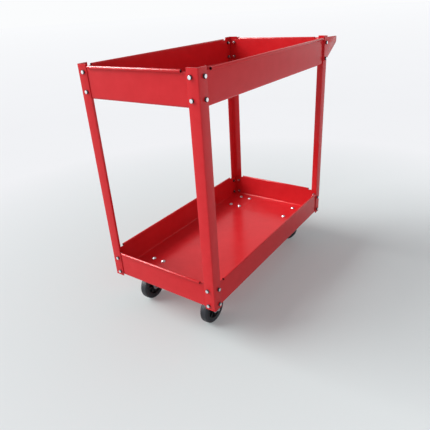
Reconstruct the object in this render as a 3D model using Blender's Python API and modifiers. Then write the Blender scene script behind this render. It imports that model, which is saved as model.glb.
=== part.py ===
"""Two-tray steel tool cart: two folded trays bolted between four angle legs, a push handle on two side
brackets at the rear, two rigid casters at the front and two swivel casters at the rear.

Metres, +Z up. +X runs along the cart towards the push handle, so the front end is at -X. Left and right
are those of the person who pushes: left is -Y. The origin is on the floor, under the middle of the box that
holds the cart.
"""

import math

import bmesh
import bpy
from mathutils import Matrix, Vector

# Frame, over the outer faces of the legs
FRAME_LENGTH = 0.762
FRAME_WIDTH = 0.4064
GAP = 0.0003  # between pieces that touch

# Legs: equal steel angle
LEG_LENGTH = 0.6756
LEG_FLANGE = 0.034
LEG_SHEET = 0.002
LEG_CORNER_RADIUS = 0.003  # outside
LEG_DROP = 0.0028  # leg ends below the lower tray's underside

# Trays: folded sheet with a rim rolled outward
TRAY_SHEET = 0.0012
TRAY_DEPTH = 0.088
TRAY_BEND_RADIUS = 0.006  # outside
TRAY_CORNER_RELIEF = 0.002  # each wall's end to the outer face of the next wall
RELIEF_HEIGHT = 0.012  # where a wall reaches its full width
UPPER_RIM_DROP = 0.0042  # rim below the leg tops
ROLL_DIAMETER = 0.008
ROLL_SWEEP = 280.0  # degrees of tube that the rim is rolled through
ROLL_END = 0.048  # from the outer face of the leg to the end of the roll
ROLL_END_RIGHT = 0.042  # the same at the right ends of the front and rear walls
NOTCH_DROP = 0.0055  # wall edge beside the roll's ends, below the rim

# Bolts through leg and tray: M6 hexagon bolts
BOLT_SHANK = 0.006
BOLT_HOLE = 0.0072
BOLT_FLATS = 0.010
BOLT_HEAD = 0.0052
BOLT_NUT = 0.0052
BOLT_TIP = 0.002  # thread past the nut
BOLT_INSET = 0.022  # from the leg's outer corner
UPPER_BOLT_DROPS = {"high": 0.0168, "low": 0.0690}  # below the rim
LOWER_BOLT_DROPS = {"high": 0.0240, "low": 0.0763}

# Casters: 4 inch wheels on 105 x 62 mm plates
CASTER_HEIGHT = 0.123
CASTER_END_INSET = 0.0846  # plate centre from the frame's end
CASTER_SIDE_INSET = 0.0765  # plate centre from the frame's side
PLATE = (0.105, 0.062, 0.0025)
PLATE_CORNER_RADIUS = 0.007
PLATE_BOLT_SPACING = (0.0873, 0.0424)
PLATE_BOLT_HEAD = 0.015
PLATE_BOLT_HEAD_HEIGHT = 0.0045
WHEEL_RADIUS = 0.050
WHEEL_SIDES = 24
TYRE_WIDTH = 0.025
TYRE_SHOULDER = 0.005
TYRE_BORE_RADIUS = 0.0365
CORE_HUB_RADIUS = 0.0105
CORE_HUB_WIDTH = 0.029
CORE_WEB = 0.008
CORE_RIM_WALL = 0.0045
AXLE_HOLE_RADIUS = 0.0048
AXLE_SHANK = 0.008
AXLE_FLATS = 0.0127
AXLE_NUT = 0.0067
FORK_SHEET = 0.0025
FORK_GAP = 0.032  # between the fork's legs
FORK_BOSS_RADIUS = 0.012
SWIVEL_TRAIL = 0.034
SWIVEL_ANGLE = 90.0  # degrees, wheels as they stand turned towards +Y
RACE_RADIUS = 0.025
RACE_HEIGHT = 0.005
RACE_RING = 0.004  # the fork's half of the ball race, above its crown
KINGPIN_RADIUS = 0.005
KINGPIN_HEAD_RADIUS = 0.0095
KINGPIN_HEAD = 0.0018
KINGPIN_RIVET_RADIUS = 0.008
KINGPIN_RIVET = 0.005

# Push handle: a tube welded between two plate brackets
HANDLE_REACH = 0.077  # bracket tip past the legs
HANDLE_TUBE_RADIUS = 0.0095
HANDLE_TUBE_BACK = 0.0125  # tube axis to the bracket's tip
HANDLE_TUBE_DROP = 0.0206  # tube axis below the leg tops
BRACKET_SHEET = 0.0025
BRACKET_ROOT_DROP = 0.003  # bracket's top edge below the leg tops, at the legs
BRACKET_TIP_DROP = 0.0076  # and at its tip
BRACKET_TIP_HEIGHT = 0.0205
BRACKET_FOOT = 0.0095  # plate past the lower bolt
BRACKET_WELD = 0.001  # tube end sunk into each plate

# Places worked out from the dimensions above
BOLT_OVERHANG = GAP + BOLT_HEAD
BOX_LENGTH = BOLT_OVERHANG + FRAME_LENGTH + HANDLE_REACH
FRONT = -BOX_LENGTH / 2 + BOLT_OVERHANG
REAR = FRONT + FRAME_LENGTH
SIDE = FRAME_WIDTH / 2
LOWER_FLOOR = CASTER_HEIGHT
LEG_FOOT = LOWER_FLOOR - LEG_DROP
LEG_TOP = LEG_FOOT + LEG_LENGTH
UPPER_FLOOR = LEG_TOP - UPPER_RIM_DROP - TRAY_DEPTH
TRAY_OFFSET = LEG_SHEET + GAP  # tray wall inside the leg's outer face
GRIP = TRAY_OFFSET + TRAY_SHEET  # leg's outer face to the tray's inner face
AXLE_HEIGHT = WHEEL_RADIUS
PLATE_TOP = CASTER_HEIGHT - GAP
PLATE_UNDER = PLATE_TOP - PLATE[2]
CROWN_TOP = PLATE_UNDER - RACE_HEIGHT - GAP - RACE_RING
CORNERS = {
    "front_left": (FRONT, -SIDE),
    "rear_left": (REAR, -SIDE),
    "rear_right": (REAR, SIDE),
    "front_right": (FRONT, SIDE),
}

UP = Vector((0, 0, 1))
SHANK_SIDES = 6
RACE_SIDES = 16
PIN_SIDES = 12


def clear_scene():
    for old in list(bpy.data.objects):
        bpy.data.objects.remove(old)


def new_collection(name):
    made = bpy.data.collections.new(name)
    bpy.context.scene.collection.children.link(made)
    return made


def new_material(name, colour, roughness, metallic):
    made = bpy.data.materials.new(name)
    made.use_nodes = True
    shader = made.node_tree.nodes["Principled BSDF"]
    shader.inputs["Base Color"].default_value = (*colour, 1)
    shader.inputs["Roughness"].default_value = roughness
    shader.inputs["Metallic"].default_value = metallic
    made.diffuse_color = (*colour, 1)
    return made


clear_scene()
CART = new_collection("tool_cart")
HELPERS = new_collection("cutters")
RED_ENAMEL = new_material("red_enamel", (0.62, 0.03, 0.035), 0.25, 0.0)
ZINC = new_material("zinc_plate", (0.75, 0.76, 0.78), 0.3, 1.0)
RUBBER = new_material("black_rubber", (0.016, 0.017, 0.02), 0.55, 0.0)
PLASTIC = new_material("dark_polypropylene", (0.03, 0.031, 0.035), 0.4, 0.0)


# Helper objects and meshes


def helper(name, bm):
    """A hidden object that holds a shape to cut with or to join."""
    mesh = bpy.data.meshes.new(name)
    bm.to_mesh(mesh)
    bm.free()
    made = bpy.data.objects.new(name, mesh)
    HELPERS.objects.link(made)
    made.hide_render = True
    made.display_type = "WIRE"
    return made


def finished_mesh(made, name, smooth_angle=None):
    """The object's mesh with its modifiers applied. The object is removed."""
    bpy.context.view_layer.update()
    evaluated = made.evaluated_get(bpy.context.evaluated_depsgraph_get())
    mesh = bpy.data.meshes.new_from_object(evaluated)
    mesh.name = name
    mesh.transform(made.matrix_world)
    bpy.data.objects.remove(made)
    if smooth_angle:
        mesh.shade_smooth()
        mesh.set_sharp_from_angle(angle=math.radians(smooth_angle))
    return mesh


def combine(base, others, operation):
    """Adds one Boolean to the base for each of the other helpers."""
    for other in others:
        modifier = base.modifiers.new(other.name, "BOOLEAN")
        modifier.operation = operation
        modifier.object = other
    return base


def joined_and_cut(name, solids, cutters=(), smooth_angle=None):
    """One mesh: the union of the solids, less the cutters."""
    base = combine(combine(solids[0], solids[1:], "UNION"), cutters, "DIFFERENCE")
    mesh = finished_mesh(base, name, smooth_angle)
    for used in (*solids[1:], *cutters):
        bpy.data.objects.remove(used)
    return mesh


def place(name, mesh, material, location=(0, 0, 0), turn=None, parent=None):
    """A piece of the cart: one named object."""
    if not mesh.materials:
        mesh.materials.append(material)
    made = bpy.data.objects.new(name, mesh)
    CART.objects.link(made)
    made.matrix_world = Matrix.Translation(location) @ (turn or Matrix.Identity(4))
    if parent:
        made.parent = parent
    return made


def pivot(name, location, turn=0.0):
    """An empty that pieces are placed under."""
    made = bpy.data.objects.new(name, None)
    CART.objects.link(made)
    made.empty_display_size = 0.03
    made.location = location
    made.rotation_euler.z = math.radians(turn)
    bpy.context.view_layer.update()
    return made


# Basic shapes


TURN_TO = {
    "X": Matrix.Rotation(math.pi / 2, 4, "Y"),
    "Y": Matrix.Rotation(math.pi / 2, 4, "X"),
    "Z": Matrix.Identity(4),
}


def add_cylinder(bm, radius, low, high, axis="Z", centre=(0, 0, 0), sides=SHANK_SIDES, top_radius=None):
    """A closed cylinder or cone from low to high along the axis, which passes through the centre."""
    along = Vector([float(letter == axis) for letter in "XYZ"])
    middle = Matrix.Translation(Vector(centre) + along * (low + high) / 2)
    bmesh.ops.create_cone(
        bm,
        cap_ends=True,
        segments=sides,
        radius1=radius,
        radius2=radius if top_radius is None else top_radius,
        depth=high - low,
        matrix=middle @ TURN_TO[axis],
    )


def cylinder(name, *sizes, **settings):
    bm = bmesh.new()
    add_cylinder(bm, *sizes, **settings)
    return helper(name, bm)


def rounded_plate(name, length, width, low, high, radius, segments=2):
    """A flat plate with rounded corners, from low to high."""
    bm = bmesh.new()
    bmesh.ops.create_cube(bm, size=1)
    bmesh.ops.scale(bm, vec=(length, width, high - low), verts=bm.verts)
    bmesh.ops.translate(bm, vec=(0, 0, (low + high) / 2), verts=bm.verts)
    upright = [edge for edge in bm.edges if abs((edge.verts[0].co - edge.verts[1].co).z) > (high - low) / 2]
    bmesh.ops.bevel(bm, geom=upright, offset=radius, segments=segments, affect="EDGES", profile=0.5)
    return helper(name, bm)


def turned(name, profile, sides, closed=False):
    """A solid turned about Z from (radius, height) points that run down its outer side."""
    bm = bmesh.new()
    points = [bm.verts.new((radius, 0, height)) for radius, height in profile]
    for first, second in zip(points, points[1:]):
        bm.edges.new((first, second))
    if closed:
        bm.edges.new((points[-1], points[0]))
    made = helper(name, bm)
    screw = made.modifiers.new("turn", "SCREW")
    screw.steps = sides
    screw.render_steps = sides
    screw.use_merge_vertices = True
    screw.merge_threshold = 0.00001
    return made


def arc(centre, radius, start, end, steps):
    """Points on an arc, from start to end in degrees."""
    angles = [math.radians(start + (end - start) * step / steps) for step in range(steps + 1)]
    return [(centre[0] + radius * math.cos(a), centre[1] + radius * math.sin(a)) for a in angles]


def rounded_outline(corners):
    """An outline through (x, z, radius) corners, in order, each corner rounded by its radius."""
    points = []
    count = len(corners)
    for index, (x, z, radius) in enumerate(corners):
        steps = 4 if radius > 0.009 else 2
        here = Vector((x, z))
        before = (Vector(corners[index - 1][:2]) - here).normalized()
        after = (Vector(corners[(index + 1) % count][:2]) - here).normalized()
        half = before.angle(after) / 2
        centre = here + (before + after).normalized() * radius / math.sin(half)
        start = here + before * radius / math.tan(half) - centre
        end = here + after * radius / math.tan(half) - centre
        sweep = math.atan2(start.cross(end), start.dot(end))
        for step in range(steps + 1):
            points.append(centre + Matrix.Rotation(sweep * step / steps, 2) @ start)
    return points


def outline_plate(name, outline, near, far):
    """A flat plate whose outline lies in XZ, from near to far along Y."""
    curve = bpy.data.curves.new(name, "CURVE")
    curve.dimensions = "2D"
    curve.fill_mode = "BOTH"
    curve.extrude = abs(far - near) / 2
    spline = curve.splines.new("POLY")
    spline.points.add(len(outline) - 1)
    for point, (x, z) in zip(spline.points, outline):
        point.co = (x, z, 0, 1)
    spline.use_cyclic_u = True
    flat = bpy.data.objects.new(name, curve)
    HELPERS.objects.link(flat)
    flat.matrix_world = Matrix.Translation((0, (near + far) / 2, 0)) @ Matrix.Rotation(math.pi / 2, 4, "X")
    mesh = finished_mesh(flat, name)
    bm = bmesh.new()
    bm.from_mesh(mesh)
    bpy.data.meshes.remove(mesh)
    bmesh.ops.remove_doubles(bm, verts=bm.verts, dist=0.000001)
    bmesh.ops.recalc_face_normals(bm, faces=bm.faces)
    return helper(name, bm)


# Trays


def raise_edges(bm, edges, outward, out, up):
    """Extrudes the edges by a step outward and a step up, and returns the new edges."""
    made = bmesh.ops.extrude_edge_only(bm, edges=edges)["geom"]
    verts = [item for item in made if isinstance(item, bmesh.types.BMVert)]
    bmesh.ops.translate(bm, vec=outward * out + UP * up, verts=verts)
    return [item for item in made if isinstance(item, bmesh.types.BMEdge)]


def raise_wall(bm, edges, outward, roll_limit):
    """Folds one wall up from the floor's edge and rolls its rim outward."""
    middle = TRAY_SHEET / 2
    bend = TRAY_BEND_RADIUS - middle
    reach, height = 0.0, middle
    for out, up in arc((0, TRAY_BEND_RADIUS), bend, -90, 0, 4)[1:]:
        edges = raise_edges(bm, edges, outward, out - reach, up - height)
        reach, height = out, up
    along = Vector((abs(outward.y), abs(outward.x), 0))
    edges = raise_edges(bm, edges, outward, 0, RELIEF_HEIGHT - height)
    for end in {vert for edge in edges for vert in edge.verts}:
        place_along = end.co.dot(along)
        if abs(place_along) > roll_limit:
            end.co += along * math.copysign(TRAY_BEND_RADIUS - TRAY_CORNER_RELIEF, place_along)
    height = TRAY_DEPTH - NOTCH_DROP
    edges = raise_edges(bm, edges, outward, 0, height - RELIEF_HEIGHT)
    edges = [edge for edge in edges if all(abs(vert.co.dot(along)) < roll_limit for vert in edge.verts)]
    roll = ROLL_DIAMETER / 2 - middle
    reach = 0.0
    roll_height = TRAY_DEPTH - ROLL_DIAMETER / 2
    for out, up in arc((roll, roll_height), roll, 180, 180 - ROLL_SWEEP, 10):
        edges = raise_edges(bm, edges, outward, out - reach, up - height)
        reach, height = out, up


def make_tray(name, floor_height, bolt_drops, floor_holes=()):
    """A tray with its underside at floor_height, on the world's axes."""
    half_length = FRAME_LENGTH / 2 - TRAY_OFFSET
    half_width = FRAME_WIDTH / 2 - TRAY_OFFSET
    rows = []
    for half, right_end in ((half_length, ROLL_END), (half_width, ROLL_END_RIGHT)):
        edge = half - TRAY_BEND_RADIUS
        leg = half + TRAY_OFFSET
        rows.append((-edge, ROLL_END - leg, leg - right_end, edge))
    bm = bmesh.new()
    grid = [[bm.verts.new((x, y, TRAY_SHEET / 2)) for y in rows[1]] for x in rows[0]]
    for i in range(3):
        for j in range(3):
            bm.faces.new((grid[i][j], grid[i + 1][j], grid[i + 1][j + 1], grid[i][j + 1]))
    rim = [edge for edge in bm.edges if edge.is_boundary]
    for outward, span in (
        (Vector((1, 0, 0)), rows[1]),
        (Vector((-1, 0, 0)), rows[1]),
        (Vector((0, 1, 0)), rows[0]),
        (Vector((0, -1, 0)), rows[0]),
    ):
        limit = max(vert.co.dot(outward) for edge in rim for vert in edge.verts)
        edges = [edge for edge in rim if all(vert.co.dot(outward) > limit - GAP for vert in edge.verts)]
        raise_wall(bm, edges, outward, span[2] + GAP)
    bmesh.ops.recalc_face_normals(bm, faces=bm.faces)
    sheet = helper(name + "_sheet", bm)
    wall = sheet.modifiers.new("sheet thickness", "SOLIDIFY")
    wall.thickness = TRAY_SHEET
    wall.offset = 0
    wall.use_even_offset = True

    bm = bmesh.new()
    cut = 2 * TRAY_OFFSET
    for side in (-1, 1):
        for end in (-1, 1):
            for drop in bolt_drops.values():
                height = TRAY_DEPTH - drop
                across = side * (SIDE - BOLT_INSET)
                along = end * (FRAME_LENGTH / 2 - BOLT_INSET)
                at_end = (end * half_length, across, height)
                at_side = (along, side * half_width, height)
                add_cylinder(bm, BOLT_HOLE / 2, -cut, cut, "X", at_end)
                add_cylinder(bm, BOLT_HOLE / 2, -cut, cut, "Y", at_side)
    for x, y in floor_holes:
        add_cylinder(bm, BOLT_HOLE / 2, -cut, cut, "Z", (x, y, 0))
    holes = helper(name + "_holes", bm)
    mesh = joined_and_cut(name, [sheet], [holes], smooth_angle=30)
    middle = (FRONT + REAR) / 2
    return place(name, mesh, RED_ENAMEL, (middle, 0, floor_height))


# Legs


def bolt_heights():
    """Each bolt row's height, by tray and level."""
    rows = {}
    for tray, floor, drops in (
        ("upper", UPPER_FLOOR, UPPER_BOLT_DROPS),
        ("lower", LOWER_FLOOR, LOWER_BOLT_DROPS),
    ):
        for level, drop in drops.items():
            rows[tray, level] = floor + TRAY_DEPTH - drop
    return rows


def leg_mesh():
    """A steel angle with its outer corner at the origin, its flanges along +X and +Y, and eight holes."""
    middle = LEG_SHEET / 2
    radius = LEG_CORNER_RADIUS - middle
    section = [(LEG_FLANGE, middle)]
    section += arc((LEG_CORNER_RADIUS, LEG_CORNER_RADIUS), radius, 270, 180, 3)
    section += [(middle, LEG_FLANGE)]
    bm = bmesh.new()
    points = [bm.verts.new((x, y, 0)) for x, y in section]
    edges = [bm.edges.new(pair) for pair in zip(points, points[1:])]
    raise_edges(bm, edges, UP, 0, LEG_LENGTH)
    bmesh.ops.recalc_face_normals(bm, faces=bm.faces)
    sheet = helper("leg_sheet", bm)
    wall = sheet.modifiers.new("sheet thickness", "SOLIDIFY")
    wall.thickness = LEG_SHEET
    wall.offset = 0
    wall.use_even_offset = True
    bm = bmesh.new()
    cut = 2 * LEG_SHEET
    for height in bolt_heights().values():
        above = height - LEG_FOOT
        add_cylinder(bm, BOLT_HOLE / 2, -cut, cut, "X", (middle, BOLT_INSET, above))
        add_cylinder(bm, BOLT_HOLE / 2, -cut, cut, "Y", (BOLT_INSET, middle, above))
    return joined_and_cut("leg", [sheet], [helper("leg_holes", bm)], smooth_angle=30)


def make_legs():
    mesh = leg_mesh()
    for quarter, (corner, (x, y)) in enumerate(CORNERS.items()):
        turn = Matrix.Rotation(quarter * math.pi / 2, 4, "Z")
        place("leg_" + corner, mesh, RED_ENAMEL, (x, y, LEG_FOOT), turn)


# Bolts


def bolt_mesh(name, packing):
    """A hexagon bolt with its nut. The head is at +Z, packing above the leg's outer face at the origin."""
    seat = packing + GAP
    nut_face = -GRIP - GAP
    corner_radius = BOLT_FLATS / math.sqrt(3)
    lap = BOLT_HEAD / 4
    head = cylinder("head", corner_radius, seat, seat + BOLT_HEAD, sides=6)
    nut = cylinder("nut", corner_radius, nut_face - BOLT_NUT, nut_face, sides=6)
    shank = cylinder("shank", BOLT_SHANK / 2, nut_face - BOLT_NUT - BOLT_TIP, seat + lap)
    return joined_and_cut(name, [head, shank, nut])


def facing(outward):
    """Turns +Z outward and +X up, so that two flats of a hexagon lie level."""
    side = outward.cross(UP)
    return Matrix((UP, side, outward)).transposed().to_4x4()


def make_bolts():
    plain = bolt_mesh("leg_bolt", 0)
    long = bolt_mesh("bracket_bolt", GAP + BRACKET_SHEET)
    for (tray, level), height in bolt_heights().items():
        for corner, (x, y) in CORNERS.items():
            lengthwise = math.copysign(1, x - (FRONT + REAR) / 2)
            sideways = math.copysign(1, y)
            end_place = (x, y - sideways * BOLT_INSET, height)
            side_place = (x - lengthwise * BOLT_INSET, y, height)
            at_bracket = tray == "upper" and corner.startswith("rear")
            name = f"bolt_{tray}_{corner}_{{}}_{level}"
            place(name.format("end"), plain, ZINC, end_place, facing(Vector((lengthwise, 0, 0))))
            side_mesh = long if at_bracket else plain
            place(name.format("side"), side_mesh, ZINC, side_place, facing(Vector((0, sideways, 0))))


# Push handle


def make_handle():
    """Two plate brackets outside the rear legs with a tube welded between their tips."""
    tip = REAR + HANDLE_REACH
    tip_top = LEG_TOP - BRACKET_TIP_DROP
    inner = REAR - LEG_FLANGE + LEG_SHEET
    bolt_x = REAR - BOLT_INSET
    low_bolt = bolt_heights()["upper", "low"]
    foot = low_bolt - BRACKET_FOOT
    outline = rounded_outline(
        [
            (inner, LEG_TOP - BRACKET_ROOT_DROP, 0.003),
            (tip, tip_top, 0.004),
            (tip, tip_top - BRACKET_TIP_HEIGHT, 0.008),
            (REAR - 0.003, low_bolt, 0.012),
            (bolt_x + BRACKET_FOOT, foot, 0.008),
            (inner, foot, 0.008),
        ]
    )
    face = SIDE + GAP
    plates = [
        outline_plate("left_plate", outline, -face - BRACKET_SHEET, -face),
        outline_plate("right_plate", outline, face, face + BRACKET_SHEET),
    ]
    tube_x = tip - HANDLE_TUBE_BACK
    tube_z = LEG_TOP - HANDLE_TUBE_DROP
    half = face + BRACKET_WELD
    centre = (tube_x, 0, tube_z)
    tube = cylinder("tube", HANDLE_TUBE_RADIUS, -half, half, axis="Y", centre=centre, sides=20)
    bm = bmesh.new()
    cut = 2 * BRACKET_SHEET
    for side in (-face, face):
        for level in UPPER_BOLT_DROPS:
            height = bolt_heights()["upper", level]
            add_cylinder(bm, BOLT_HOLE / 2, -cut, cut, "Y", (bolt_x, side, height))
    mesh = joined_and_cut("push_handle", [tube, *plates], [helper("bracket_holes", bm)], smooth_angle=30)
    place("push_handle", mesh, RED_ENAMEL)


# Casters


def plate_bolt_places():
    half_x, half_y = PLATE_BOLT_SPACING[0] / 2, PLATE_BOLT_SPACING[1] / 2
    return [(x, y) for x in (-half_x, half_x) for y in (-half_y, half_y)]


def caster_places():
    """Each caster's plate centre."""
    return {
        corner: (
            x + math.copysign(CASTER_END_INSET, -x),
            y + math.copysign(CASTER_SIDE_INSET, -y),
        )
        for corner, (x, y) in CORNERS.items()
    }


def mounting_plate():
    """A caster's top plate with the four round-headed bolts that hold it under the tray."""
    pieces = [rounded_plate("plate", PLATE[0], PLATE[1], PLATE_UNDER, PLATE_TOP, PLATE_CORNER_RADIUS)]
    lap = PLATE[2] / 2
    head_seat = CASTER_HEIGHT + TRAY_SHEET + GAP
    shank_end = PLATE_UNDER - BOLT_NUT - BOLT_TIP
    bm = bmesh.new()
    for x, y in plate_bolt_places():
        add_cylinder(bm, BOLT_SHANK / 2, shank_end, head_seat + lap, centre=(x, y, 0))
    pieces.append(helper("plate_bolts", bm))
    bm = bmesh.new()
    for x, y in plate_bolt_places():
        crown = head_seat + PLATE_BOLT_HEAD_HEIGHT
        rim = PLATE_BOLT_HEAD / 2
        add_cylinder(bm, rim, head_seat, crown, centre=(x, y, 0), sides=10, top_radius=rim * 0.55)
    pieces.append(helper("plate_bolt_heads", bm))
    bm = bmesh.new()
    for x, y in plate_bolt_places():
        nut_radius = BOLT_FLATS / math.sqrt(3)
        add_cylinder(bm, nut_radius, PLATE_UNDER - BOLT_NUT, PLATE_UNDER + lap, centre=(x, y, 0), sides=6)
    pieces.append(helper("plate_bolt_nuts", bm))
    return pieces


def fork_legs(axle_x, top, near, far):
    """Two side plates that run from a straight top edge down to a round boss at the axle."""
    boss = FORK_BOSS_RADIUS
    outline = rounded_outline(
        [
            (near, top, 0.0005),
            (far, top, 0.0005),
            (far, top - 0.014, 0.006),
            (axle_x + boss, AXLE_HEIGHT - boss, boss * 0.95),
            (axle_x - boss, AXLE_HEIGHT - boss, boss * 0.95),
            (near, top - 0.014, 0.006),
        ]
    )
    inner = FORK_GAP / 2
    outer = inner + FORK_SHEET
    return [outline_plate("fork_leg", outline, *reach) for reach in ((inner, outer), (-outer, -inner))]


def axle_cutter(axle_x):
    centre = (axle_x, 0, AXLE_HEIGHT)
    return cylinder("axle_hole", AXLE_HOLE_RADIUS, -FORK_GAP, FORK_GAP, axis="Y", centre=centre)


def rigid_bracket_mesh():
    """Top plate, mounting bolts and the two fixed legs that carry the wheel."""
    legs = fork_legs(0, PLATE_UNDER + PLATE[2] / 2, -0.028, 0.028)
    return joined_and_cut("rigid_bracket", [*mounting_plate(), *legs], [axle_cutter(0)])


def swivel_plate_mesh():
    """Top plate, mounting bolts, the upper half of the ball race and a recess for the kingpin's head."""
    inside = PLATE_UNDER + PLATE[2] / 2
    under = PLATE_UNDER - RACE_HEIGHT
    profile = [
        (0, inside),
        (RACE_RADIUS, inside),
        (RACE_RADIUS, PLATE_UNDER - RACE_HEIGHT / 2),
        (RACE_RADIUS - RACE_HEIGHT / 2, under),
        (0, under),
    ]
    race = turned("upper_race", profile, RACE_SIDES)
    above = PLATE_TOP + GAP
    hole = cylinder("kingpin_hole", KINGPIN_RADIUS + 2 * GAP, under - GAP, above, sides=PIN_SIDES)
    seat = PLATE_TOP - KINGPIN_HEAD - 2 * GAP
    recess = cylinder("head_recess", KINGPIN_HEAD_RADIUS + 2 * GAP, seat, above, sides=PIN_SIDES)
    return joined_and_cut("swivel_plate", [*mounting_plate(), race], [hole, recess])


def swivel_fork_mesh():
    """Crown with the lower half of the ball race, and two raked legs. The swivel axis is at the origin."""
    crown_under = CROWN_TOP - FORK_SHEET
    width = FORK_GAP + 2 * FORK_SHEET
    crown = rounded_plate("crown", 0.052, width, crown_under, CROWN_TOP, 0.002, 1)
    inside = CROWN_TOP - FORK_SHEET / 2
    ring_top = CROWN_TOP + RACE_RING
    profile = [
        (0, ring_top),
        (RACE_RADIUS - RACE_RING / 2, ring_top),
        (RACE_RADIUS, ring_top - RACE_RING / 2),
        (RACE_RADIUS, inside),
        (0, inside),
    ]
    ring = turned("lower_race", profile, RACE_SIDES)
    legs = fork_legs(SWIVEL_TRAIL, CROWN_TOP, -0.024, 0.026)
    below, above = crown_under - GAP, ring_top + GAP
    hole = cylinder("kingpin_hole", KINGPIN_RADIUS + 2 * GAP, below, above, sides=PIN_SIDES)
    return joined_and_cut("swivel_fork", [crown, ring, *legs], [hole, axle_cutter(SWIVEL_TRAIL)])


def kingpin_mesh():
    """The riveted pin that the fork turns on."""
    head_top = PLATE_TOP - GAP
    head_under = head_top - KINGPIN_HEAD
    rivet_top = CROWN_TOP - FORK_SHEET - GAP
    rivet_end = rivet_top - KINGPIN_RIVET
    profile = [
        (0, head_top),
        (KINGPIN_HEAD_RADIUS, head_top),
        (KINGPIN_HEAD_RADIUS, head_under),
        (KINGPIN_RADIUS, head_under),
        (KINGPIN_RADIUS, rivet_top),
        (KINGPIN_RIVET_RADIUS, rivet_top),
        (KINGPIN_RIVET_RADIUS, rivet_end + KINGPIN_RIVET / 2),
        (KINGPIN_RIVET_RADIUS * 0.6, rivet_end),
        (0, rivet_end),
    ]
    return finished_mesh(turned("kingpin_profile", profile, PIN_SIDES), "kingpin", 40)


def tyre_mesh():
    """A solid tyre, turned about Z."""
    half = TYRE_WIDTH / 2
    shoulder = TYRE_SHOULDER
    flat = half - shoulder
    crown = WHEEL_RADIUS / math.cos(math.pi / WHEEL_SIDES) - shoulder  # the tyre stands on a facet
    profile = [(TYRE_BORE_RADIUS, half)]
    profile += arc((crown, flat), shoulder, 90, 0, 2)
    profile += arc((crown, -flat), shoulder, 0, -90, 2)
    profile += [(TYRE_BORE_RADIUS, -half)]
    return finished_mesh(turned("tyre_profile", profile, WHEEL_SIDES, closed=True), "tyre", 40)


def core_mesh():
    """A wheel core with a rim, a web and a hub, turned about Z."""
    rim = TYRE_BORE_RADIUS - GAP * 2
    inner_rim = rim - CORE_RIM_WALL
    half = TYRE_WIDTH / 2
    hub = CORE_HUB_WIDTH / 2
    web = CORE_WEB / 2
    upper = [
        (AXLE_HOLE_RADIUS, hub),
        (CORE_HUB_RADIUS, hub),
        (CORE_HUB_RADIUS, web),
        (inner_rim, web),
        (rim, half),
    ]
    profile = upper + [(radius, -height) for radius, height in reversed(upper)]
    return finished_mesh(turned("core_profile", profile, WHEEL_SIDES, closed=True), "wheel_core", 40)


def axle_mesh():
    """A hexagon bolt and nut through the fork, along Z."""
    seat = FORK_GAP / 2 + FORK_SHEET + GAP
    corner_radius = AXLE_FLATS / math.sqrt(3)
    shank = cylinder("shank", AXLE_SHANK / 2, -seat - AXLE_NUT - BOLT_TIP, seat + BOLT_HEAD / 2)
    head = cylinder("head", corner_radius, seat, seat + BOLT_HEAD, sides=6)
    nut = cylinder("nut", corner_radius, -seat - AXLE_NUT, -seat, sides=6)
    return joined_and_cut("axle_bolt", [head, shank, nut])


def make_casters():
    """Rigid casters at the front. At the rear, swivel casters whose wheels trail the kingpin."""
    rigid_bracket = rigid_bracket_mesh()
    swivel_plate = swivel_plate_mesh()
    swivel_fork = swivel_fork_mesh()
    kingpin = kingpin_mesh()
    turning = {"tyre": tyre_mesh(), "wheel_core": core_mesh()}
    axle = axle_mesh()
    across = Matrix.Rotation(-math.pi / 2, 4, "X")
    onto_facet = Matrix.Rotation(math.pi / WHEEL_SIDES, 4, "Z")
    for corner, (x, y) in caster_places().items():
        swivels = corner.startswith("rear")
        trail = SWIVEL_TRAIL if swivels else 0
        carrier = pivot("pivot_" + corner, (x, y, 0), SWIVEL_ANGLE if swivels else 0)
        if swivels:
            place("caster_plate_" + corner, swivel_plate, ZINC, (x, y, 0))
            place("kingpin_" + corner, kingpin, ZINC, (x, y, 0))
            place("caster_fork_" + corner, swivel_fork, ZINC, parent=carrier)
        else:
            place("caster_bracket_" + corner, rigid_bracket, ZINC, (x, y, 0))
        at_axle = (trail, 0, AXLE_HEIGHT)
        place("axle_" + corner, axle, ZINC, at_axle, across, carrier)
        for piece, material in (("wheel_core", PLASTIC), ("tyre", RUBBER)):
            place(f"{piece}_{corner}", turning[piece], material, at_axle, across @ onto_facet, carrier)


def make_cart():
    middle = (FRONT + REAR) / 2
    floor_holes = [
        (x - middle + hole_x, y + hole_y)
        for x, y in caster_places().values()
        for hole_x, hole_y in plate_bolt_places()
    ]
    make_tray("upper_tray", UPPER_FLOOR, UPPER_BOLT_DROPS)
    make_tray("lower_tray", LOWER_FLOOR, LOWER_BOLT_DROPS, floor_holes)
    make_legs()
    make_bolts()
    make_handle()
    make_casters()


make_cart()
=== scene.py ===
"""Looks of the two-tray tool cart: baked enamel on folded sheet steel, zinc-plated fasteners, rubber tyres.

Metres, +Z up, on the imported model's axes: +X towards the push handle, left is -Y.
"""

import math

import bmesh
import bpy
from mathutils import Matrix, Vector


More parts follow.
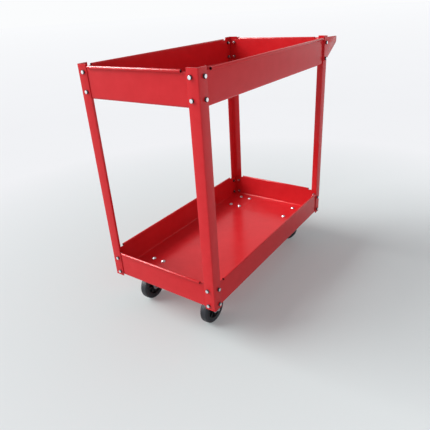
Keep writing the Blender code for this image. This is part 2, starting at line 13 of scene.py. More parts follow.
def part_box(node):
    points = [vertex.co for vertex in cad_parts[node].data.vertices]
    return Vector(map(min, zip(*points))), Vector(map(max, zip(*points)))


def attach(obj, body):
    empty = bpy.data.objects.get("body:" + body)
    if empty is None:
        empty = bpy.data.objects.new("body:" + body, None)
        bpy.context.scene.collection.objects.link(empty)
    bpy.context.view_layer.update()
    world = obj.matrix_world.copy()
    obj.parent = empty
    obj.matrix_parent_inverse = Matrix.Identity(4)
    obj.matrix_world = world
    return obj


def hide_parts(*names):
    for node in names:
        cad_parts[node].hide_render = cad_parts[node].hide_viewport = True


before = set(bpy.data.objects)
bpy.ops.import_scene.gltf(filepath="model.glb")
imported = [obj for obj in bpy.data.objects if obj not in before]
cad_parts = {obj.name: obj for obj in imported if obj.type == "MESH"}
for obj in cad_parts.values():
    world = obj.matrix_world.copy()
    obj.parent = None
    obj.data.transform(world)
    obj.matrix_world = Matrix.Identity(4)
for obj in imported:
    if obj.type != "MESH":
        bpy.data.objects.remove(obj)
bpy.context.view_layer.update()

FRAME_BODY = "cart_frame"
UP = Vector((0, 0, 1))
CORNERS = ("front_left", "rear_left", "rear_right", "front_right")

# Sheet steel
TRAY_SHEET = 0.0012
TRAY_BEND_RADIUS = 0.006
TRAY_OFFSET = 0.0023  # tray wall inside the leg's outer face
TRAY_CORNER_RELIEF = 0.002  # from a wall's end to the tray's corner
RELIEF_HEIGHT = 0.012  # at which a wall reaches its full length
ROLL_DIAMETER = 0.008
ROLL_SWEEP = 308.0  # degrees of tube, which leaves a narrow slit
ROLL_END = 0.048  # from the cart's corner
ROLL_END_RIGHT = 0.042  # on the front and rear walls
NOTCH_DROP = 0.0055  # wall's top edge beside the roll, below the roll's top
LEG_SHEET = 0.002
LEG_CORNER_RADIUS = 0.003
LEG_TIP_RADIUS = 0.3 * LEG_SHEET  # rounding of a flange's two edges
SHEARED_EDGE = 0.0003  # rounding that the enamel gives a cut edge
BEND_STEPS = 8
ROLL_STEPS = 26

# Fasteners
BOLT_CORNER = 0.010 / math.sqrt(3)  # 10 mm across flats
BOLT_HEAD = 0.0052
BOLT_NUT = 0.0052
BOLT_SHANK = 0.006
BOLT_TIP = 0.002
BOLT_GAP = 0.0003  # clearance under a head or a nut
SHANK_IN_HEAD = 0.3  # how far the shank reaches into its head, over the head's height
LEG_GRIP = TRAY_OFFSET + TRAY_SHEET + BOLT_GAP
FLANK_LEAN = 0.93  # cosine of the lean from the bolt's axis past which a face counts as a flank
HEAD_CROWN = 0.030  # radius of the slightly crowned top of a bolt head
HEAD_FACE = 0.82  # radius of the round top face over the corner radius
BOLT_TURN = 30.0  # degrees to either side by which a leg bolt is left turned
AXLE_CORNER = 0.0127 / math.sqrt(3)  # 12.7 mm across flats
AXLE_NUT = 0.0067
AXLE_SHANK = 0.008
BRACKET_SHEET = 0.0025
ROUND_HEAD_RADIUS = 0.0076
ROUND_HEAD_HEIGHT = 0.0046
PLATE_BOLT_SPACING = (0.0873, 0.0424)  # along and across the cart

# Push handle
HANDLE_TUBE_BACK = 0.0125  # tube axis to the bracket's tip
HANDLE_TUBE_BELOW = 0.0130  # and below the tip's top edge

# Wheels
WHEEL_RADIUS = 0.050
TYRE_WIDTH = 0.025
TYRE_BORE_RADIUS = 0.0365
CORE_BORE_RADIUS = 0.0048
CORE_HUB_RADIUS = 0.0105
CORE_HUB_WIDTH = 0.029
WHEEL_STEPS = 96
FORK_WIDTH = 0.037  # over the outer faces of its legs
PRESSED_EDGE = 0.0006  # roundings that stamping and plating leave
PLATE_EDGE = 0.0005
PIN_EDGE = 0.0004

# Mesh work
MERGE = 0.000002
SEAM_MERGE = 0.00001
FACET_ANGLE = 1.5  # degrees under which neighbouring faces count as one
SLACK = 0.0003  # how far off a line a vertex may lie and still count as on it

# The photograph's camera
CAMERA_PLACE = (-1.20055, -0.7978, 0.9228)
CAMERA_RIGHT = (0.56573, -0.82251, -0.05857)
CAMERA_DOWN = (-0.39717, -0.20956, -0.8935)
SENSOR_WIDTH = 36.0
LENS = 35.82
CLIP_END = 200.0

# Studio
KEY_DIRECTION = (-0.40, 0.74, 0.63)  # from the cart towards the light
KEY_STRENGTH = 3.14
KEY_ANGLE = 42.0  # degrees that the soft key light spans
ROOM_LIGHT = 0.418
DIFFUSER_DIRECTION = (-0.28, 0.68, 0.66)
DIFFUSER_DISTANCE = 8.6
DIFFUSER_SIZE = (9.6, 6.0)
DIFFUSER_POWER = 3300.0
FLOOR_RADIUS = 40.0
PAINTED_SHADE_FROM, PAINTED_SHADE_TO = 0.25, 1.7  # where the painted shade round the cart goes over to plain paper
BACKDROP_FROM, BACKDROP_TO = 3.0, 30.0  # and the plain paper to the backdrop
BACKDROP_SHARE = 0.16  # of the backdrop's white in the paper nearer than that


# Materials


def linear(hex_colour):
    """An sRGB hex colour as linear RGBA."""
    channels = [int(hex_colour[i : i + 2], 16) / 255 for i in (1, 3, 5)]
    return (*[c / 12.92 if c <= 0.04045 else ((c + 0.055) / 1.055) ** 2.4 for c in channels], 1.0)


def add(tree, kind, inputs=None, **settings):
    """Adds a node. Inputs map a socket to a value, an output to link, or a list of outputs."""
    made = tree.nodes.new(kind)
    for name, value in settings.items():
        setattr(made, name, value)
    for name, value in (inputs or {}).items():
        for item in value if isinstance(value, list) else [value]:
            if isinstance(item, bpy.types.NodeSocket):
                tree.links.new(item, made.inputs[name])
            else:
                made.inputs[name].default_value = item
    return made


def new_material(name):
    """An empty material, its tree, and the place on the piece that its patterns are read at."""
    made = bpy.data.materials.new(name)
    made.use_nodes = True
    tree = made.node_tree
    tree.nodes.clear()
    return made, tree, add(tree, "ShaderNodeTexCoord").outputs["Object"]


def baked_enamel():
    """Alkyd enamel, sprayed on steel sheet and baked: an even deep red under a hard clear gloss. Faint
    orange peel breaks up small highlights, and the slow waves of thin sheet bend the large reflections.
    Inside the rolled rims the colour is painted near black, as painted shade."""
    made, tree, place = new_material("baked_red_enamel")
    # Waves of the sheet, 110 mm long, and flow marks of the spray, 35 mm
    waves = add(tree, "ShaderNodeTexNoise", {"Vector": place, "Scale": 1 / 0.11, "Detail": 1.0})
    flow = add(
        tree, "ShaderNodeTexNoise", {"Vector": place, "Scale": 1 / 0.035, "Detail": 3.0, "Roughness": 0.6}
    )
    # Orange peel, drawn at 3 mm from crest to crest, coarser than the real 1 mm, so that it shows
    peel = add(tree, "ShaderNodeTexNoise", {"Vector": place, "Scale": 1 / 0.003, "Detail": 1.0})
    depth = add(tree, "ShaderNodeMapRange", {"Value": flow.outputs[0], "From Min": 0.3, "From Max": 0.7})
    colour = add(
        tree,
        "ShaderNodeMix",
        {0: depth.outputs[0], 6: linear("#CF262C"), 7: linear("#D52A30")},
        data_type="RGBA",
    )
    # Painted shade: the faces inside the rolled rims go near black
    unsprayed = add(tree, "ShaderNodeAttribute", attribute_name="unsprayed", attribute_type="GEOMETRY")
    coat = add(
        tree,
        "ShaderNodeMix",
        {0: unsprayed.outputs["Fac"], 6: colour.outputs[2], 7: linear("#1A1012")},
        data_type="RGBA",
    )
    gloss = add(
        tree,
        "ShaderNodeMapRange",
        {"Value": flow.outputs[0], "From Min": 0.3, "From Max": 0.7, "To Min": 0.16, "To Max": 0.24},
    )
    sheet = add(tree, "ShaderNodeBump", {"Height": waves.outputs[0], "Strength": 1.0, "Distance": 0.0004})
    surface = add(
        tree,
        "ShaderNodeBump",
        {"Height": peel.outputs[0], "Strength": 0.12, "Distance": 0.00003, "Normal": sheet.outputs[0]},
    )
    # Enamel's usual IOR is 1.5. The real panels mirror less of the pale room than that gives
    shader = add(
        tree,
        "ShaderNodeBsdfPrincipled",
        {
            "Base Color": coat.outputs[2],
            "Roughness": gloss.outputs[0],
            "IOR": 1.28,
            "Normal": surface.outputs[0],
        },
    )
    add(tree, "ShaderNodeOutputMaterial", {"Surface": shader.outputs[0]})
    return made


def zinc_plate(name, light, dark, smooth, rough):
    """Electroplated zinc on steel, clear passivated: a pale blue-white metal whose fine crystals blur
    what it mirrors, brighter where the plating is thick. The flanks of bolts are painted dark, as painted
    shade and painted reflection of the red sheet beside them."""
    made, tree, place = new_material(name)
    # Crystal mottle, drawn at 2 mm, coarser than the real grain, so that it shows, and 20 mm smears
    mottle = add(
        tree, "ShaderNodeTexNoise", {"Vector": place, "Scale": 1 / 0.002, "Detail": 3.0, "Roughness": 0.65}
    )
    smear = add(tree, "ShaderNodeTexNoise", {"Vector": place, "Scale": 1 / 0.02, "Detail": 2.0})
    thin = add(tree, "ShaderNodeMapRange", {"Value": mottle.outputs[0], "From Min": 0.3, "From Max": 0.7})
    plated = add(
        tree, "ShaderNodeMix", {0: thin.outputs[0], 6: linear(light), 7: linear(dark)}, data_type="RGBA"
    )
    # Painted shade and painted reflection: the flanks go dark red-grey
    flank = add(tree, "ShaderNodeAttribute", attribute_name="flank", attribute_type="GEOMETRY")
    colour = add(
        tree,
        "ShaderNodeMix",
        {0: flank.outputs["Fac"], 6: plated.outputs[2], 7: linear("#4A4247")},
        data_type="RGBA",
    )
    gloss = add(
        tree,
        "ShaderNodeMapRange",
        {"Value": smear.outputs[0], "From Min": 0.3, "From Max": 0.7, "To Min": smooth, "To Max": rough},
    )
    # Forged flanks stay rough under the plating
    gloss = add(
        tree, "ShaderNodeMix", {0: flank.outputs["Fac"], 2: gloss.outputs[0], 3: 0.75}, data_type="FLOAT"
    )
    grain = add(
        tree, "ShaderNodeBump", {"Height": mottle.outputs[0], "Strength": 0.15, "Distance": 0.00004}
    )
    shader = add(
        tree,
        "ShaderNodeBsdfPrincipled",
        {
            "Base Color": colour.outputs[2],
            "Metallic": 1.0,
            "Roughness": gloss.outputs[0],
            "Normal": grain.outputs[0],
        },
    )
    add(tree, "ShaderNodeOutputMaterial", {"Surface": shader.outputs[0]})
    return made


def tyre_rubber():
    """Moulded black rubber, dull over fine mould grain, with a trace of floor dust. Its blue-grey cast is
    painted sheen.
    """
    made, tree, place = new_material("moulded_black_rubber")
    # Dust in 12 mm patches, and mould grain drawn at 1.2 mm so that it shows
    dust = add(
        tree, "ShaderNodeTexNoise", {"Vector": place, "Scale": 1 / 0.012, "Detail": 4.0, "Roughness": 0.6}
    )
    grain = add(tree, "ShaderNodeTexNoise", {"Vector": place, "Scale": 1 / 0.0012, "Detail": 2.0})
    share = add(tree, "ShaderNodeMapRange", {"Value": dust.outputs[0], "From Min": 0.45, "From Max": 0.8})
    # Both colours carry a blue-grey cast, painted sheen; the paler patches are dust
    colour = add(
        tree,
        "ShaderNodeMix",
        {0: share.outputs[0], 6: linear("#0D111A"), 7: linear("#1C2433")},
        data_type="RGBA",
    )
    dull = add(
        tree,
        "ShaderNodeMapRange",
        {"Value": dust.outputs[0], "From Min": 0.3, "From Max": 0.7, "To Min": 0.40, "To Max": 0.56},
    )
    skin = add(tree, "ShaderNodeBump", {"Height": grain.outputs[0], "Strength": 0.2, "Distance": 0.00006})
    shader = add(
        tree,
        "ShaderNodeBsdfPrincipled",
        {
            "Base Color": colour.outputs[2],
            "Roughness": dull.outputs[0],
            "IOR": 1.52,
            "Normal": skin.outputs[0],
        },
    )
    add(tree, "ShaderNodeOutputMaterial", {"Surface": shader.outputs[0]})
    return made


def moulded_polypropylene():
    """Injection-moulded black polypropylene: satin, with a slightly paler bloom where it flowed last."""
    made, tree, place = new_material("moulded_black_polypropylene")
    # Flow bloom over 18 mm, and spark-eroded mould grain of 0.9 mm
    bloom = add(tree, "ShaderNodeTexNoise", {"Vector": place, "Scale": 1 / 0.018, "Detail": 2.0})
    grain = add(tree, "ShaderNodeTexNoise", {"Vector": place, "Scale": 1 / 0.0009, "Detail": 1.0})
    share = add(tree, "ShaderNodeMapRange", {"Value": bloom.outputs[0], "From Min": 0.3, "From Max": 0.7})
    colour = add(
        tree,
        "ShaderNodeMix",
        {0: share.outputs[0], 6: linear("#17181B"), 7: linear("#1F2125")},
        data_type="RGBA",
    )
    satin = add(
        tree,
        "ShaderNodeMapRange",
        {"Value": bloom.outputs[0], "From Min": 0.3, "From Max": 0.7, "To Min": 0.36, "To Max": 0.46},
    )
    skin = add(tree, "ShaderNodeBump", {"Height": grain.outputs[0], "Strength": 0.15, "Distance": 0.00003})
    shader = add(
        tree,
        "ShaderNodeBsdfPrincipled",
        {
            "Base Color": colour.outputs[2],
            "Roughness": satin.outputs[0],
            "IOR": 1.49,
            "Normal": skin.outputs[0],
        },
    )
    add(tree, "ShaderNodeOutputMaterial", {"Surface": shader.outputs[0]})
    return made


ENAMEL = baked_enamel()
BOLT_ZINC = zinc_plate("bright_zinc_bolts", "#F4F5F7", "#E2E5E9", 0.2, 0.3)
# The pressings' zinc is made darker than the bolts': in part a duller plating, in part painted shade for
# parts under the trays
CASTER_ZINC = zinc_plate("zinc_plated_pressings", "#B4B7BC", "#95999F", 0.28, 0.4)
RUBBER = tyre_rubber()
POLYPROPYLENE = moulded_polypropylene()


# Making meshes


def new_object(name, data):
    made = bpy.data.objects.new(name, data)
    bpy.context.scene.collection.objects.link(made)
    return made


def from_bmesh(name, bm):
    mesh = bpy.data.meshes.new(name)
    bm.to_mesh(mesh)
    bm.free()
    return new_object(name, mesh)


def settled(made, material, sharp=30.0):
    """The same object, with its modifiers and its place worked into its mesh, smooth up to the sharp
    angle."""
    bpy.context.view_layer.update()
    evaluated = made.evaluated_get(bpy.context.evaluated_depsgraph_get())
    mesh = bpy.data.meshes.new_from_object(evaluated)
    mesh.transform(made.matrix_world)
    made.modifiers.clear()
    made.data = mesh
    made.matrix_world = Matrix.Identity(4)
    for attribute in [a for a in mesh.attributes if a.name in ("custom_normal", "outward", "upward")]:
        mesh.attributes.remove(attribute)
    mesh.materials.clear()
    mesh.materials.append(material)
    mesh.shade_smooth()
    mesh.set_sharp_from_angle(angle=math.radians(sharp))
    return made


def fitted(made, body, slot, *nodes):
    """Gives a finished piece to its body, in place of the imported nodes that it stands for."""
    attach(made, body)
    if nodes:
        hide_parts(*nodes)


def arc(centre, radius, start, end, steps):
    """Points on an arc, from start to end in degrees."""
    angles = [math.radians(start + (end - start) * step / steps) for step in range(steps + 1)]
    return [(centre[0] + radius * math.cos(a), centre[1] + radius * math.sin(a)) for a in angles]


def rounded_edges(made, radius, sharp):
    """Rounds the edges that are sharper than an angle."""
    bevel = made.modifiers.new("rounded edges", "BEVEL")
    bevel.width = radius
    bevel.segments = 2
    bevel.limit_method = "ANGLE"
    bevel.angle_limit = math.radians(sharp)


def outward_faces(mesh):
    """Merges doubles and turns every face outwards."""
    bm = bmesh.new()
    bm.from_mesh(mesh)
    bmesh.ops.remove_doubles(bm, verts=bm.verts, dist=MERGE)
    bmesh.ops.recalc_face_normals(bm, faces=bm.faces)
    bm.to_mesh(mesh)
    bm.free()


def turned(name, profile, material):
    """A closed profile of (radius, height) points turned about Z."""
    bm = bmesh.new()
    points = [bm.verts.new((radius, 0, height)) for radius, height in profile]
    for first, second in zip(points, points[1:] + points[:1]):
        bm.edges.new((first, second))
    made = from_bmesh(name, bm)
    screw = made.modifiers.new("turn", "SCREW")
    screw.steps = WHEEL_STEPS
    screw.render_steps = WHEEL_STEPS
    screw.use_merge_vertices = True
    screw.merge_threshold = SEAM_MERGE
    settled(made, material)
    outward_faces(made.data)
    return made


def eased(node, radius, name, material, sharp=35.0, cut_above=None):
    """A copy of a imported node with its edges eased, less what stands above a height."""
    bm = bmesh.new()
    bm.from_mesh(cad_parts[node].data)
    bmesh.ops.remove_doubles(bm, verts=bm.verts, dist=MERGE)
    if cut_above is not None:
        everything = bm.verts[:] + bm.edges[:] + bm.faces[:]
        cut = bmesh.ops.bisect_plane(
            bm, geom=everything, plane_co=(0, 0, cut_above), plane_no=UP, clear_outer=True
        )
        rims = [item for item in cut["geom_cut"] if isinstance(item, bmesh.types.BMEdge)]
        bmesh.ops.holes_fill(bm, edges=rims)
    bmesh.ops.dissolve_limit(bm, angle_limit=math.radians(FACET_ANGLE), verts=bm.verts, edges=bm.edges)
    made = from_bmesh(name, bm)
    rounded_edges(made, radius, sharp)
    return settled(made, material, sharp)


# Geometry node trees


def new_tree(name, sizes):
    """A geometry node tree with a named input for each size, and the outputs of its input node."""
    tree = bpy.data.node_groups.new(name, "GeometryNodeTree")
    tree.interface.new_socket("Geometry", in_out="INPUT", socket_type="NodeSocketGeometry")
    for label, value in sizes.items():
        kind = "NodeSocketInt" if isinstance(value, int) else "NodeSocketFloat"
        tree.interface.new_socket(label, in_out="INPUT", socket_type=kind).default_value = value
    tree.interface.new_socket("Geometry", in_out="OUTPUT", socket_type="NodeSocketGeometry")
    return tree, add(tree, "NodeGroupInput").outputs


def end_tree(tree, geometry, material):
    """Makes the tree's copies real and gives them their finish."""
    solid = add(tree, "GeometryNodeRealizeInstances", {"Geometry": geometry})
    coated = add(tree, "GeometryNodeSetMaterial", {"Geometry": solid.outputs[0], "Material": material})
    add(tree, "NodeGroupOutput", {0: coated.outputs[0]})
    return tree


def grown(made, tree, sizes, material, sharp=30.0):
    """Runs a tree on an object with these sizes, and keeps the result as its plain mesh."""
    modifier = made.modifiers.new(tree.name, "NODES")
    modifier.node_group = tree
    for item in tree.interface.items_tree:
        if item.in_out == "INPUT" and item.name in sizes:
            modifier[item.identifier] = sizes[item.name]
    return settled(made, material, sharp)


def points_object(name, places):
    """A mesh of loose points from (place, outward, upward) rows."""
    mesh = bpy.data.meshes.new(name)
    mesh.from_pydata([row[0] for row in places], [], [])
    for column, label in ((1, "outward"), (2, "upward")):
        layer = mesh.attributes.new(label, "FLOAT_VECTOR", "POINT")
        for item, row in zip(layer.data, places):
            item.vector = row[column]
    return new_object(name, mesh)


def chamfered_hexagon(tree, corner, height, crown, turn, lift):
    """A hexagonal head on z 0: its top corners are cut back by a 30 degree cone, and its top is the cap
    of a ball of the crown's radius. Then it is turned about X and lifted."""
    half = add(tree, "ShaderNodeMath", {0: height, 1: 0.5}, operation="MULTIPLY")
    prism = add(tree, "GeometryNodeMeshCylinder", {"Vertices": 6, "Radius": corner, "Depth": height})
    prism_place = add(tree, "ShaderNodeCombineXYZ", {"Z": half.outputs[0]})
    prism = add(
        tree,
        "GeometryNodeTransform",
        {"Geometry": prism.outputs["Mesh"], "Translation": prism_place.outputs[0]},
    )
    # The cone meets the crown on the rim of a round face a little narrower than the flats, and it reaches
    # well below the head. Its top is narrower still, by what the crown falls to that rim
    face = add(tree, "ShaderNodeMath", {0: corner, 1: HEAD_FACE}, operation="MULTIPLY")
    square = add(tree, "ShaderNodeMath", {0: face.outputs[0], 1: face.outputs[0]}, operation="MULTIPLY")
    fall = add(tree, "ShaderNodeMath", {0: square.outputs[0], 1: crown}, operation="DIVIDE")
    rim = add(
        tree,
        "ShaderNodeMath",
        {0: fall.outputs[0], 1: -math.sqrt(3) / 2, 2: face.outputs[0]},
        operation="MULTIPLY_ADD",
    )
    deep = add(tree, "ShaderNodeMath", {0: height, 1: 2.0}, operation="MULTIPLY")
    skirt = add(
        tree,
        "ShaderNodeMath",
        {0: deep.outputs[0], 1: math.sqrt(3), 2: rim.outputs[0]},
        operation="MULTIPLY_ADD",
    )
    cone = add(
        tree,
        "GeometryNodeMeshCone",
        {
            "Vertices": 48,
            "Radius Top": rim.outputs[0],
            "Radius Bottom": skirt.outputs[0],
            "Depth": deep.outputs[0],
        },
    )
    below = add(tree, "ShaderNodeMath", {0: height, 1: -1.0}, operation="MULTIPLY")
    cone_place = add(tree, "ShaderNodeCombineXYZ", {"Z": below.outputs[0]})
    cone = add(
        tree,
        "GeometryNodeTransform",
        {"Geometry": cone.outputs["Mesh"], "Translation": cone_place.outputs[0]},
    )
    ball = add(tree, "GeometryNodeMeshUVSphere", {"Segments": 40, "Rings": 80, "Radius": crown})
    centre = add(tree, "ShaderNodeMath", {0: height, 1: crown}, operation="SUBTRACT")
    ball_place = add(tree, "ShaderNodeCombineXYZ", {"Z": centre.outputs[0]})
    ball = add(
        tree,
        "GeometryNodeTransform",
        {"Geometry": ball.outputs["Mesh"], "Translation": ball_place.outputs[0]},
    )
    head = add(
        tree,
        "GeometryNodeMeshBoolean",
        {1: [prism.outputs[0], cone.outputs[0], ball.outputs[0]]},
        operation="INTERSECT",
        solver="EXACT",
    )
    place = add(tree, "ShaderNodeCombineXYZ", {"Z": lift})
    return add(
        tree,
        "GeometryNodeTransform",
        {"Geometry": head.outputs[0], "Translation": place.outputs[0], "Rotation": (turn, 0, 0)},
    ).outputs[0]


def set_on_points(tree, points, piece, spread, seed):
    """Copies of a piece on points, with +Z along the points' outward and +X along their upward, each
    turned about its own axis by up to the spread."""
    outward = add(tree, "GeometryNodeInputNamedAttribute", {"Name": "outward"}, data_type="FLOAT_VECTOR")
    upward = add(tree, "GeometryNodeInputNamedAttribute", {"Name": "upward"}, data_type="FLOAT_VECTOR")
    facing = add(
        tree,
        "FunctionNodeAxesToRotation",
        {0: outward.outputs["Attribute"], 1: upward.outputs["Attribute"]},
        primary_axis="Z",
        secondary_axis="X",
    )
    least = add(tree, "ShaderNodeMath", {0: spread, 1: -1.0}, operation="MULTIPLY")
    angle = add(
        tree,
        "FunctionNodeRandomValue",
        {2: least.outputs[0], 3: spread, "Seed": seed},
        data_type="FLOAT",
    )
    spin = add(tree, "FunctionNodeAxisAngleToRotation", {"Axis": (0, 0, 1), "Angle": angle.outputs[1]})
    turn = add(
        tree,
        "FunctionNodeRotateRotation",
        {"Rotation": facing.outputs[0], "Rotate By": spin.outputs[0]},
        rotation_space="LOCAL",
    )
    return add(
        tree,
        "GeometryNodeInstanceOnPoints",
        {"Points": points, "Instance": piece, "Rotation": turn.outputs[0]},
    ).outputs[0]


def hexagon_bolt_tree():
    """A hexagon bolt through a grip, with its nut, on every point. z 0 is the face that the head is
    above."""
    sizes = {
        "Corner Radius": BOLT_CORNER,
        "Head": BOLT_HEAD,
        "Crown": HEAD_CROWN,
        "Seat": BOLT_GAP,
        "Nut": BOLT_NUT,
        "Grip": LEG_GRIP,
        "Shank Radius": BOLT_SHANK / 2,
        "Tip": BOLT_TIP,
        "Spread": 0.0,
        "Seed": 5,
    }
    tree, given = new_tree("hexagon_bolt", sizes)
    head = chamfered_hexagon(
        tree, given["Corner Radius"], given["Head"], given["Crown"], 0.0, given["Seat"]
    )
    nut_face = add(tree, "ShaderNodeMath", {0: given["Grip"], 1: -1.0}, operation="MULTIPLY")
    nut = chamfered_hexagon(
        tree, given["Corner Radius"], given["Nut"], given["Crown"], math.pi, nut_face.outputs[0]
    )
    beyond = add(tree, "ShaderNodeMath", {0: given["Nut"], 1: given["Tip"]}, operation="ADD")
    below = add(tree, "ShaderNodeMath", {0: given["Grip"], 1: beyond.outputs[0]}, operation="ADD")
    inside = add(
        tree,
        "ShaderNodeMath",
        {0: given["Head"], 1: SHANK_IN_HEAD, 2: given["Seat"]},
        operation="MULTIPLY_ADD",
    )
    length = add(tree, "ShaderNodeMath", {0: below.outputs[0], 1: inside.outputs[0]}, operation="ADD")
    overlap = add(tree, "ShaderNodeMath", {0: inside.outputs[0], 1: below.outputs[0]}, operation="SUBTRACT")
    middle = add(tree, "ShaderNodeMath", {0: overlap.outputs[0], 1: 0.5}, operation="MULTIPLY")
    shank = add(
        tree,
        "GeometryNodeMeshCylinder",
        {"Vertices": 20, "Radius": given["Shank Radius"], "Depth": length.outputs[0]},
    )
    place = add(tree, "ShaderNodeCombineXYZ", {"Z": middle.outputs[0]})
    shank = add(
        tree,
        "GeometryNodeTransform",
        {"Geometry": shank.outputs["Mesh"], "Translation": place.outputs[0]},
    )
    bolt = add(
        tree,
        "GeometryNodeMeshBoolean",
        {1: [head, nut, shank.outputs[0]]},
        operation="UNION",
        solver="EXACT",
    )
    # Marks all but the end faces, whose normals lie near the bolt's axis: the flanks, which get painted
    # shade and a rougher finish
    normal = add(tree, "GeometryNodeInputNormal")
    parts = add(tree, "ShaderNodeSeparateXYZ", {0: normal.outputs[0]})
    lean = add(tree, "ShaderNodeMath", {0: parts.outputs["Z"]}, operation="ABSOLUTE")
    side = add(tree, "ShaderNodeMath", {0: lean.outputs[0], 1: FLANK_LEAN}, operation="LESS_THAN")
    marked = add(
        tree,
        "GeometryNodeStoreNamedAttribute",
        {"Geometry": bolt.outputs[0], "Name": "flank", "Value": side.outputs[0]},
        data_type="FLOAT",
        domain="FACE",
    )
    bolts = set_on_points(tree, given["Geometry"], marked.outputs[0], given["Spread"], given["Seed"])
    return end_tree(tree, bolts, BOLT_ZINC)


def round_head_tree():
    """The low domed head of a round-head bolt, standing on z 0 on every point."""
    tree, given = new_tree("round_bolt_head", {"Radius": ROUND_HEAD_RADIUS, "Height": ROUND_HEAD_HEIGHT})
    ball = add(tree, "GeometryNodeMeshUVSphere", {"Segments": 32, "Rings": 16, "Radius": 1.0})
    scale = add(tree, "ShaderNodeCombineXYZ", {0: given["Radius"], 1: given["Radius"], 2: given["Height"]})
    dome = add(
        tree, "GeometryNodeTransform", {"Geometry": ball.outputs["Mesh"], "Scale": scale.outputs[0]}
    )
    # A block over z 0 keeps the upper half of the dome
    reach = 0.02
    block = add(tree, "GeometryNodeMeshCube", {"Size": (2 * reach, 2 * reach, reach)})
    above = add(
        tree, "GeometryNodeTransform", {"Geometry": block.outputs["Mesh"], "Translation": (0, 0, reach / 2)}
    )
    cap = add(
        tree,
        "GeometryNodeMeshBoolean",
        {1: [dome.outputs[0], above.outputs[0]]},
        operation="INTERSECT",
        solver="EXACT",
    )
    heads = set_on_points(tree, given["Geometry"], cap.outputs[0], 0.0, 0)
    return end_tree(tree, heads, CASTER_ZINC)


def angle_leg_tree():
    """Steel angle: the section that is given, swept upright at the four corners of a rectangle."""
    sizes = {"Frame Length": 0.762, "Frame Width": 0.4064, "Foot": 0.12, "Top": 0.796}
    tree, given = new_tree("angle_legs", sizes)
    section = add(tree, "GeometryNodeMeshToCurve", {"Mesh": given["Geometry"]})
    foot = add(tree, "ShaderNodeCombineXYZ", {"Z": given["Foot"]})
    top = add(tree, "ShaderNodeCombineXYZ", {"Z": given["Top"]})
    line = add(tree, "GeometryNodeCurvePrimitiveLine", {"Start": foot.outputs[0], "End": top.outputs[0]})
    leg = add(
        tree,
        "GeometryNodeCurveToMesh",
        {"Curve": line.outputs[0], "Profile Curve": section.outputs[0], "Fill Caps": True},
    )
    corners = add(
        tree,
        "GeometryNodeMeshGrid",
        {
            "Size X": given["Frame Length"],
            "Size Y": given["Frame Width"],
            "Vertices X": 2,
            "Vertices Y": 2,
        },
    )
    # Each corner's leg is turned by quarters, so that its flanges run along the frame's sides
    place = add(tree, "GeometryNodeInputPosition")
    parts = add(tree, "ShaderNodeSeparateXYZ", {0: place.outputs[0]})
    lengthwise = add(tree, "ShaderNodeMath", {0: parts.outputs["X"]}, operation="SIGN")
    sideways = add(tree, "ShaderNodeMath", {0: parts.outputs["Y"]}, operation="SIGN")
    bearing = add(
        tree, "ShaderNodeMath", {0: sideways.outputs[0], 1: lengthwise.outputs[0]}, operation="ARCTAN2"
    )
    quarter = add(tree, "ShaderNodeMath", {0: bearing.outputs[0], 1: 0.75 * math.pi}, operation="ADD")
    turn = add(tree, "ShaderNodeCombineXYZ", {"Z": quarter.outputs[0]})
    legs = add(
        tree,
        "GeometryNodeInstanceOnPoints",
        {"Points": corners.outputs["Mesh"], "Instance": leg.outputs[0], "Rotation": turn.outputs[0]},
    )
    return end_tree(tree, legs.outputs[0], ENAMEL)


def ribbed_core_tree():
    """The turned core that is given, with ribs between hub and rim on both sides of its web."""
    sizes = {
        "Ribs": 8,
        "Inner Radius": 0.0098,
        "Outer Radius": 0.0325,
        "Rib Width": 0.0022,
        "Rib Height": 0.020,
    }
    tree, given = new_tree("ribbed_wheel_core", sizes)
    length = add(
        tree, "ShaderNodeMath", {0: given["Outer Radius"], 1: given["Inner Radius"]}, operation="SUBTRACT"
    )
    sum_of_radii = add(
        tree, "ShaderNodeMath", {0: given["Outer Radius"], 1: given["Inner Radius"]}, operation="ADD"
    )
    middle = add(tree, "ShaderNodeMath", {0: sum_of_radii.outputs[0], 1: 0.5}, operation="MULTIPLY")
    size = add(
        tree, "ShaderNodeCombineXYZ", {0: length.outputs[0], 1: given["Rib Width"], 2: given["Rib Height"]}
    )
    rib = add(tree, "GeometryNodeMeshCube", {"Size": size.outputs[0]})
    ring = add(tree, "GeometryNodeMeshCircle", {"Vertices": given["Ribs"], "Radius": middle.outputs[0]})
    place = add(tree, "GeometryNodeInputPosition")
    parts = add(tree, "ShaderNodeSeparateXYZ", {0: place.outputs[0]})
    bearing = add(
        tree, "ShaderNodeMath", {0: parts.outputs["Y"], 1: parts.outputs["X"]}, operation="ARCTAN2"
    )
    turn = add(tree, "ShaderNodeCombineXYZ", {"Z": bearing.outputs[0]})
    ribs = add(
        tree,
        "GeometryNodeInstanceOnPoints",
        {"Points": ring.outputs["Mesh"], "Instance": rib.outputs["Mesh"], "Rotation": turn.outputs[0]},
    )
    solid = add(tree, "GeometryNodeRealizeInstances", {"Geometry": ribs.outputs[0]})
    joined = add(
        tree,
        "GeometryNodeMeshBoolean",
        {1: [given["Geometry"], solid.outputs[0]]},
        operation="UNION",
        solver="EXACT",
    )
    return end_tree(tree, joined.outputs[0], POLYPROPYLENE)


